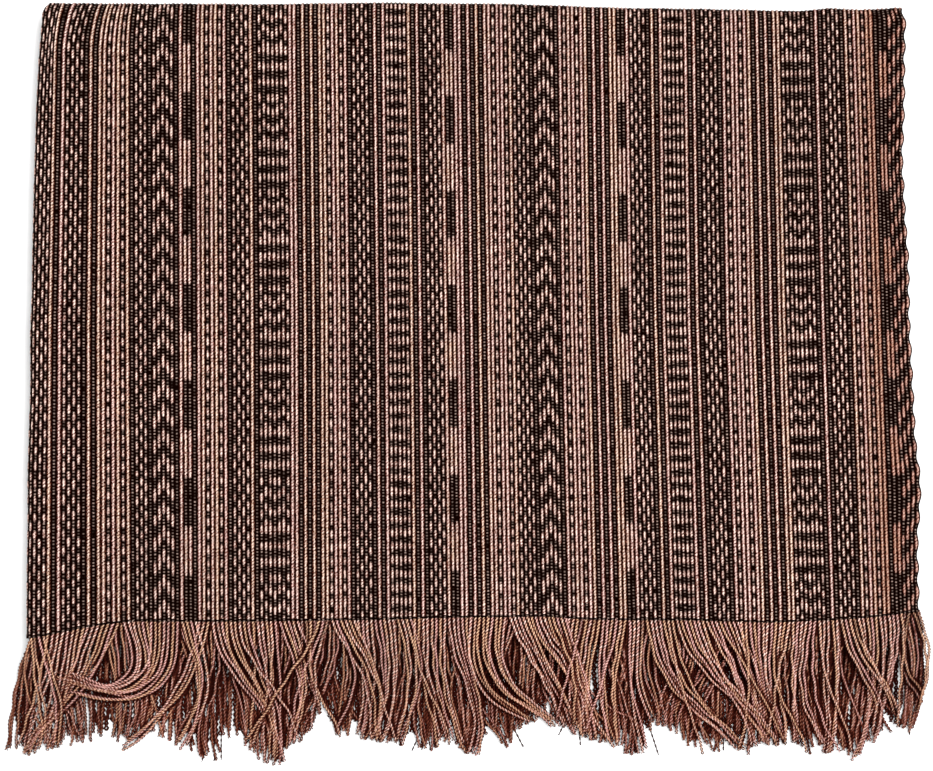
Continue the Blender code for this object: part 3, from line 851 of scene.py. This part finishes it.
def fringe_layer(name, layer, material, lines, tops):
    """Twisted strands along their middle lines: each ply is a thin tube that winds round the strand."""
    rings, stout, light = LAYERS[layer][3:]
    loose = np.zeros(len(lines))
    if layer == "lowest":
        lines = np.concatenate([lines, loose_ends(rings)])
        loose = np.append(loose, np.ones(len(LOOSE_ENDS)))
    draw = np.random.default_rng(YARN_SEED)
    count = len(lines)
    length, level, upward = strand_frames(lines)
    tone = draw.random(count)
    thickness = draw.uniform(*THICKNESS_SHARES, count)[:, None] * stout
    thickness = np.where(loose[:, None] > 0, LOOSE_END_RADIUS / STRAND_RADIUS, thickness)
    share = length / length[:, -1:]
    frayed = np.clip((share - 1 + FRAYED_SHARE) / FRAYED_SHARE, 0, 1)
    quarter_turns = np.arange(count) * math.pi / 2
    phase = (quarter_turns + draw.uniform(-PHASE_FREEDOM, PHASE_FREEDOM, count))[:, None]

    points, crest_light = [], []
    for ply in range(PLIES):
        turn = 2 * math.pi * (length / (TURN_LENGTH * stout) + ply / PLIES) + phase
        radius = PLY_RADIUS * thickness * (1 - FRAYED_THINNER * frayed)
        offset = PLY_OFFSET * thickness * (1 + FRAYED_WIDER * frayed)
        outward = level * np.cos(turn)[..., None] + upward * np.sin(turn)[..., None]
        centre = lines + outward * offset[..., None]
        for k in range(PLY_SIDES):
            angle = turn + 2 * math.pi * k / PLY_SIDES
            spoke = level * np.cos(angle)[..., None] + upward * np.sin(angle)[..., None]
            point = centre + spoke * radius[..., None]
            points.append(point)
            # painted light and shade: lighter on the strand's crest, darker on its sides
            crest = ((point - lines) * upward).sum(-1) / (STRAND_RADIUS * stout)
            side = np.abs(((point - lines) * level).sum(-1)) / (STRAND_RADIUS * stout)
            crest_light.append(np.clip(MIDDLE_LIGHT + CREST_LIGHTER * crest - SIDE_DARKER * side, 0, 1))
    points, crest_light = np.stack(points, 2), np.stack(crest_light, 2)
    # painted shade where the yarn lies deeper than the yarn round it, and on the deeper layers
    in_light = crest_light * light_on(points, tops) * light
    # darker towards the tip; the loose ends get no painted light and take the darkest painted shade colour
    in_light = in_light * (1 - DIMMER_AT_TIPS * share - loose[:, None])[..., None].clip(0)
    tones = np.broadcast_to(tone[:, None, None], in_light.shape)
    ply_marks = np.broadcast_to(np.repeat(np.arange(PLIES), PLY_SIDES), in_light.shape)
    faces, bake = tube_faces(count, rings, share)
    return build_mesh(name, points.reshape(-1, 3), faces, material, uvs={"OFBake": bake},
                      point_values={"strand_tone": tones, "ply": ply_marks, "in_light": in_light})


# Materials

def linear(red, green, blue):
    """A screen colour as the light value that a shader takes."""
    values = [c / 255 for c in (red, green, blue)]
    return tuple(c / 12.92 if c <= 0.04045 else ((c + 0.055) / 1.055) ** 2.4 for c in values) + (1.0,)


# Colours of the weave
PALE_FLOAT = linear(216, 184, 172)
PALE_GOLD = linear(196, 162, 136)
PALE_PINK = linear(196, 156, 150)
# painted highlight along the middle of a pale cord
PALE_HIGHLIGHT = linear(244, 222, 210)
PALE_COPPER = linear(170, 110, 88)
PALE_SHADE = linear(84, 34, 22)
GROUND = linear(8, 1, 0)
# painted highlight on each pick of the dark ground
PICK_HIGHLIGHT = linear(142, 119, 110)

# Colours of the fringe
YARN_LIGHT = linear(244, 212, 200)
YARN_SECOND = linear(212, 162, 146)
# painted shade colours of the yarn, for where little light gets to it
YARN_DEEPEST_SHADE = linear(44, 6, 1)
YARN_SHADE = linear(112, 54, 36)
YARN_GOLD = linear(214, 172, 138)
YARN_ROSE = linear(216, 168, 162)

# Scales of unevenness, to a metre
PATCH_SCALE = 22
MOTTLE_SCALE = 160
UNEVEN_SCALE = 420
FLECK_SCALE = 900
FINE_SCALE = 1300
FUZZ_SCALE = 1500
FLECK_SHARE = 0.8
PATCH_SHARE = 0.35

# How far the ends of a float are ragged, by coarse noise, by fine noise and by chance, and rounded, in picks
RAGGED_COARSE = 1.6
RAGGED_FINE = 1.2
RAGGED_BY_CHANCE = 0.6
ROUNDED_ENDS = 5.0
FLOATS_PER_PICK = 0.4
# How far from the middle of a column, in columns, a cord, its painted highlight, the painted highlight on a
# pick and the valley fade
CORD_FADES = (0.33, 0.1)
HIGHLIGHT_FADES = (0.22, 0.05)
FLECK_FADES = (0.32, 0.04)
VALLEY_FADES = (0.26, 0.4)
VALLEY_DARK = 0.96
CORD_UNEVEN = 0.9
BEADS_NARROWER = 0.13
BEADS_DARKER = 0.95
BEADS_LOWER = 0.15
# Between which values a bead and the gap after it, a float and its end, the hue and a long float fade in
BEAD_FADES = (-1.0, -0.1)
GAP_FADES = (0.0, 0.9)
LEAST_GAP = 0.25
FLOAT_FADES = (-0.3, 0.3)
FLOAT_END_FADES = (0.0, 0.9)
HUE_FADES = (0.15, 0.85)
LONG_FLOAT_FADES = (2.0, 4.0)
# How bright or high a cord is where what it goes by is 0, and where that is 1
HIGHLIGHT_BY_BEAD = (0.5, 1.1)
LIGHT_BY_END = (0.5, 1.0)
LIGHT_BY_FLOAT = (0.8, 1.1)
HEIGHT_BY_PALE = (0.35, 1.0)
HIGHLIGHT_SHARE = 0.85
# The painted highlight on each pick of the dark ground
FLECK_WAVE_FADES = (-0.3, 0.9)
FLECK_DRAW = 7.0
FLECK_POWER = 1.5
FLECK_UNEVEN = 1.5
FLECK_LEAST = 0.25
FLECK_HEIGHT = 0.15
# How much noise there is in the weave's hue and light, and in the tone of the fringe
WEAVE_MOTTLE = 1.2
LIGHT_GRAIN = 4.5
YARN_MOTTLE = 0.9
# Between which tones of the fringe gold fades in and rose fades out, and by how much light its colours turn
GOLD_FADES = (0.5, 0.9)
ROSE_FADES = (0.1, 0.5)
TINT_SHARE = 0.9
SHADE_FADES = (0.0, 0.5)
LIGHT_FADES = (0.2, 0.95)
# The border at the selvedge turns copper between these columns
COPPER_FADES = (len(BANDS) - 14.0, len(BANDS) - 5.0)
COPPER_SHARE = 0.6


class Nodes:
    """Short helpers for wiring a node tree."""

    def __init__(self, tree):
        self.tree = tree

    def add(self, kind, **settings):
        node = self.tree.nodes.new(kind)
        for key, value in settings.items():
            setattr(node, key, value)
        return node

    def put(self, socket, value):
        if isinstance(value, bpy.types.NodeSocket):
            self.tree.links.new(value, socket)
        else:
            socket.default_value = value

    def math(self, operation, a, b=None, clamp=False):
        node = self.add("ShaderNodeMath", operation=operation, use_clamp=clamp)
        self.put(node.inputs[0], a)
        if b is not None:
            self.put(node.inputs[1], b)
        return node.outputs[0]

    def plus(self, a, b, clamp=False):
        return self.math("ADD", a, b, clamp)

    def minus(self, a, b):
        return self.math("SUBTRACT", a, b)

    def times(self, a, b, clamp=False):
        return self.math("MULTIPLY", a, b, clamp)

    def between(self, value, at_zero, at_one):
        return self.plus(at_zero, self.times(value, at_one - at_zero))

    def whole(self, value):
        return self.math("FLOOR", value)

    def wave(self, value):
        """A cosine with one wave to each step of 1."""
        return self.math("COSINE", self.times(value, 2 * math.pi))

    def ramp(self, value, low, high, to_low=0.0, to_high=1.0):
        node = self.add("ShaderNodeMapRange", interpolation_type="SMOOTHSTEP")
        for socket, item in zip(node.inputs, (value, low, high, to_low, to_high)):
            self.put(socket, item)
        return node.outputs[0]

    def mix(self, share, a, b):
        node = self.add("ShaderNodeMix", data_type="RGBA")
        self.put(node.inputs[0], share)
        self.put(node.inputs[6], a)
        self.put(node.inputs[7], b)
        return node.outputs[2]

    def carried(self, name):
        """A value that the mesh carries."""
        return self.add("ShaderNodeAttribute", attribute_name=name, attribute_type="GEOMETRY").outputs["Fac"]

    def place(self):
        return self.add("ShaderNodeTexCoord").outputs["Object"]

    def noise(self, place, scale, detail=2):
        node = self.add("ShaderNodeTexNoise")
        self.put(node.inputs["Vector"], place)
        node.inputs["Scale"].default_value = scale
        node.inputs["Detail"].default_value = detail
        return node.outputs[0]

    def uneven(self, place, scale):
        """Noise from -0.5 to 0.5."""
        return self.minus(self.noise(place, scale), 0.5)

    def chance(self, x, y):
        """A random share for each whole pair of numbers."""
        pair = self.add("ShaderNodeCombineXYZ")
        self.put(pair.inputs[0], x)
        self.put(pair.inputs[1], y)
        noise = self.add("ShaderNodeTexWhiteNoise", noise_dimensions="2D")
        self.put(noise.inputs["Vector"], pair.outputs[0])
        return noise.outputs[0]


def heather_group():
    """Uneven dye of spun yarn: makes a colour a little lighter or darker in fine flecks."""
    group = bpy.data.node_groups.new("heathered yarn", "ShaderNodeTree")
    group.interface.new_socket("Colour", in_out="INPUT", socket_type="NodeSocketColor")
    group.interface.new_socket("Amount", in_out="INPUT", socket_type="NodeSocketFloat")
    group.interface.new_socket("Colour", in_out="OUTPUT", socket_type="NodeSocketColor")
    wire = Nodes(group)
    inside = wire.add("NodeGroupInput")
    outside = wire.add("NodeGroupOutput")
    place = wire.place()
    flecks = wire.times(wire.noise(place, FLECK_SCALE, detail=3), FLECK_SHARE)
    patches = wire.times(wire.noise(place, PATCH_SCALE), PATCH_SHARE)
    swing = wire.minus(wire.plus(flecks, patches), (FLECK_SHARE + PATCH_SHARE) / 2)
    value = wire.plus(1.0, wire.times(swing, inside.outputs["Amount"]))
    scaled = wire.add("ShaderNodeVectorMath", operation="SCALE")
    wire.put(scaled.inputs[0], inside.outputs["Colour"])
    wire.put(scaled.inputs["Scale"], value)
    wire.put(outside.inputs["Colour"], scaled.outputs[0])
    return group


HEATHER = heather_group()


def finish_cloth(wire, colour, height, flecks, roughness, gloss, strength, distance):
    """Set the Principled shader of a yarn or cloth."""
    shader = wire.tree.nodes["Principled BSDF"]
    heather = wire.add("ShaderNodeGroup", node_tree=HEATHER)
    wire.put(heather.inputs["Colour"], colour)
    heather.inputs["Amount"].default_value = flecks
    wire.put(shader.inputs["Base Color"], heather.outputs["Colour"])
    shader.inputs["Roughness"].default_value = roughness
    shader.inputs["Specular IOR Level"].default_value = gloss
    bump = wire.add("ShaderNodeBump")
    bump.inputs["Strength"].default_value = strength
    bump.inputs["Distance"].default_value = distance
    wire.put(bump.inputs["Height"], height)
    wire.put(shader.inputs["Normal"], bump.outputs[0])


def weave_material():
    """Warp-faced cloth: pale floats on a dark ground, from the cloth's column and pick positions."""
    material = bpy.data.materials.new("striped weave")
    material.use_nodes = True
    wire = Nodes(material.node_tree)
    split = wire.add("ShaderNodeSeparateXYZ")
    wire.put(split.inputs[0], wire.add("ShaderNodeUVMap", uv_map="weave").outputs[0])
    column, pick = split.outputs[0], split.outputs[1]
    this_column = wire.whole(column)
    across = wire.math("FRACT", column)
    from_middle = wire.math("ABSOLUTE", wire.minus(across, 0.5))
    reach = wire.carried("float_reach")
    body = wire.place()
    uneven = wire.uneven(body, UNEVEN_SCALE)
    fine = wire.uneven(body, FINE_SCALE)
    mottle = wire.times(wire.uneven(body, MOTTLE_SCALE), WEAVE_MOTTLE)

    # a pale cord is a row of small slanting beads, one to a pick
    slant = wire.plus(pick, across)
    each_gap = wire.chance(this_column, wire.whole(slant))
    each_bead = wire.chance(wire.whole(wire.plus(slant, 0.5)), this_column)
    bead = wire.ramp(wire.wave(slant), *BEAD_FADES)
    bead_gap = wire.times(wire.minus(1.0, bead), wire.ramp(each_gap, *GAP_FADES, LEAST_GAP, 1.0))
    width = wire.plus(from_middle, wire.times(bead_gap, BEADS_NARROWER))
    width = wire.plus(width, wire.times(fine, CORD_UNEVEN))
    round_cord = wire.ramp(width, *CORD_FADES)

    # the ends of a float are round and ragged
    each_float = wire.chance(this_column, wire.whole(wire.times(pick, FLOATS_PER_PICK)))
    ragged = wire.plus(wire.times(uneven, RAGGED_COARSE), wire.times(fine, RAGGED_FINE))
    ragged = wire.plus(ragged, wire.times(wire.minus(each_float, 0.5), RAGGED_BY_CHANCE))
    rounding = wire.times(wire.times(from_middle, from_middle), ROUNDED_ENDS)
    inside = wire.minus(wire.plus(reach, ragged), rounding)
    pale_here = wire.ramp(inside, *FLOAT_FADES)
    float_end = wire.ramp(inside, *FLOAT_END_FADES)

    # pale yarn: golden or pink by its column, whitest in short floats, copper in the border, with a painted
    # highlight along its middle
    hue = wire.plus(wire.chance(this_column, 0.0), mottle)
    pale = wire.mix(wire.ramp(hue, *HUE_FADES), PALE_GOLD, PALE_PINK)
    pale = wire.mix(wire.ramp(reach, *LONG_FLOAT_FADES), PALE_FLOAT, pale)
    near_selvedge = wire.ramp(column, *COPPER_FADES, 0.0, COPPER_SHARE)
    pale = wire.mix(near_selvedge, pale, PALE_COPPER)
    # painted highlight: a bright line along the cord's middle, weaker near the selvedge and from bead to bead
    core_highlight = wire.times(wire.ramp(width, *HIGHLIGHT_FADES), wire.minus(HIGHLIGHT_SHARE, near_selvedge))
    core_highlight = wire.times(core_highlight, wire.between(each_bead, *HIGHLIGHT_BY_BEAD))
    pale = wire.mix(core_highlight, pale, PALE_HIGHLIGHT)
    # painted shade: the cord turns towards PALE_SHADE at its sides, in the gaps between its beads and towards
    # a float's ends; each float and a fine grain also vary its tone at random
    lit = wire.times(round_cord, wire.minus(1.0, wire.times(bead_gap, BEADS_DARKER)))
    lit = wire.times(lit, wire.between(float_end, *LIGHT_BY_END))
    lit = wire.times(lit, wire.between(each_float, *LIGHT_BY_FLOAT))
    lit = wire.plus(lit, wire.times(wire.times(fine, lit), LIGHT_GRAIN), clamp=True)
    pale = wire.mix(lit, PALE_SHADE, pale)

    # dark ground, with a painted highlight on each pick
    dot_place = wire.plus(wire.plus(pick, wire.chance(this_column, FLECK_DRAW)), mottle)
    each_dot = wire.chance(this_column, wire.whole(wire.plus(dot_place, 0.5)))
    dot = wire.times(wire.ramp(wire.wave(dot_place), *FLECK_WAVE_FADES), wire.ramp(from_middle, *FLECK_FADES))
    dot_light = wire.plus(wire.math("POWER", each_dot, FLECK_POWER), wire.times(uneven, FLECK_UNEVEN))
    dot = wire.times(dot, wire.plus(dot_light, FLECK_LEAST), clamp=True)
    colour = wire.mix(pale_here, wire.mix(dot, GROUND, PICK_HIGHLIGHT), pale)
    colour = wire.mix(wire.times(wire.ramp(width, *VALLEY_FADES), VALLEY_DARK), colour, GROUND)
    # painted shade in the creases of the hidden leaves
    colour = wire.mix(wire.carried("crease_shade"), colour, GROUND)

    height = wire.times(round_cord, wire.between(pale_here, *HEIGHT_BY_PALE))
    height = wire.plus(wire.minus(height, wire.times(bead_gap, BEADS_LOWER)), wire.times(dot, FLECK_HEIGHT))
    finish_cloth(wire, colour, height, flecks=1.1, roughness=0.8, gloss=0.0, strength=0.7, distance=0.0004)
    return material


def yarn_material():
    """Two-ply fringe yarn: one ply lighter than the other, each strand a little different."""
    material = bpy.data.materials.new("fringe yarn")
    material.use_nodes = True
    wire = Nodes(material.node_tree)
    body = wire.place()
    tone = wire.plus(wire.carried("strand_tone"), wire.times(wire.uneven(body, MOTTLE_SCALE), YARN_MOTTLE))
    in_light = wire.carried("in_light")
    plain = wire.mix(wire.carried("ply"), YARN_LIGHT, YARN_SECOND)
    golden = wire.mix(wire.ramp(tone, *GOLD_FADES, 0.0, TINT_SHARE), plain, YARN_GOLD)
    rosier = wire.mix(wire.ramp(tone, *ROSE_FADES, TINT_SHARE, 0.0), golden, YARN_ROSE)
    # painted light and shade: the yarn's own colours in full light, its shade colours where in_light is low
    half_lit = wire.mix(wire.ramp(in_light, *SHADE_FADES), YARN_DEEPEST_SHADE, YARN_SHADE)
    colour = wire.mix(wire.ramp(in_light, *LIGHT_FADES), half_lit, rosier)
    fuzz = wire.noise(body, FUZZ_SCALE)
    finish_cloth(wire, colour, fuzz, flecks=2.0, roughness=0.7, gloss=0.08, strength=0.4, distance=0.0002)
    return material


# The scarf

WEAVE = weave_material()
YARN = yarn_material()
leaf = woven_leaf(WEAVE)
hidden = hidden_leaves(WEAVE)
paths = {layer: strand_paths(layer) for layer in LAYERS}
tops = yarn_tops(paths.values())
half = WARP_COLUMNS // 2
top_left = fringe_layer("fringe_top_left", "top", YARN, paths["top"][:half], tops)
top_right = fringe_layer("fringe_top_right", "top", YARN, paths["top"][half:], tops)
second = fringe_layer("fringe_second", "second", YARN, paths["second"], tops)
third = fringe_layer("fringe_third", "third", YARN, paths["third"], tops)
lowest = fringe_layer("fringe_lowest", "lowest", YARN, paths["lowest"], tops)

strands = [top_left, top_right, second, third, lowest]
for piece in [leaf, hidden] + strands:
    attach(piece, "root")
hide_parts("front_panel")
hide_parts("folded_layers")
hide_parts("fringe_upper")
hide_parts("fringe_lower")

# Floor, light, camera, in metres

FLOOR_HALF = 4
FLOOR_COLOUR = (0.93, 0.93, 0.93, 1)
floor_mesh = bpy.data.meshes.new("floor")
floor_corners = [(x * FLOOR_HALF, y * FLOOR_HALF, 0) for x, y in ((-1, -1), (1, -1), (1, 1), (-1, 1))]
floor_mesh.from_pydata(floor_corners, [], [(0, 1, 2, 3)])
floor = bpy.data.objects.new("floor", floor_mesh)
bpy.context.scene.collection.objects.link(floor)
paper = bpy.data.materials.new("pale floor")
paper.use_nodes = True
paper_shader = paper.node_tree.nodes["Principled BSDF"]
paper_shader.inputs["Base Color"].default_value = FLOOR_COLOUR
paper_shader.inputs["Roughness"].default_value = 0.9
paper_shader.inputs["Specular IOR Level"].default_value = 0.1
floor_mesh.materials.append(paper)

# columns: name, place, width, watts; each shines at the middle of the scarf
LIGHTS = [
    ("window", (0.45, 0.35, 2.4), 1.0, 92),
    ("fill", (-1.0, -0.6, 2.4), 2.0, 30),
]
for light_name, place, width, watts in LIGHTS:
    lamp_data = bpy.data.lights.new(light_name, "AREA")
    lamp_data.size = width
    lamp_data.energy = watts
    lamp = bpy.data.objects.new(light_name, lamp_data)
    bpy.context.scene.collection.objects.link(lamp)
    lamp.location = place
    lamp.rotation_euler = (-Vector(place)).to_track_quat("-Z", "Y").to_euler()

STUDIO_WHITE = (1, 1, 1, 1)
STUDIO_STRENGTH = 0.2
world = bpy.data.worlds.new("studio")
world.use_nodes = True
world.node_tree.nodes["Background"].inputs["Color"].default_value = STUDIO_WHITE
world.node_tree.nodes["Background"].inputs["Strength"].default_value = STUDIO_STRENGTH
bpy.context.scene.world = world
bpy.context.scene.view_settings.view_transform = "Standard"

# straight down, with the leaf's top as wide in the frame as in the photo
CAMERA_X = 0.0005
CAMERA_Y = -0.0004
CAMERA_ABOVE_LEAF = 1.5
FIELD_WIDTH = 0.369
SENSOR_WIDTH = 36
camera_data = bpy.data.cameras.new("camera")
camera_data.sensor_width = SENSOR_WIDTH
camera_data.lens = SENSOR_WIDTH * CAMERA_ABOVE_LEAF / FIELD_WIDTH
camera = bpy.data.objects.new("camera", camera_data)
camera.location = (CAMERA_X, CAMERA_Y, STACK_HEIGHT * MM + CAMERA_ABOVE_LEAF)
bpy.context.scene.collection.objects.link(camera)
bpy.context.scene.camera = camera
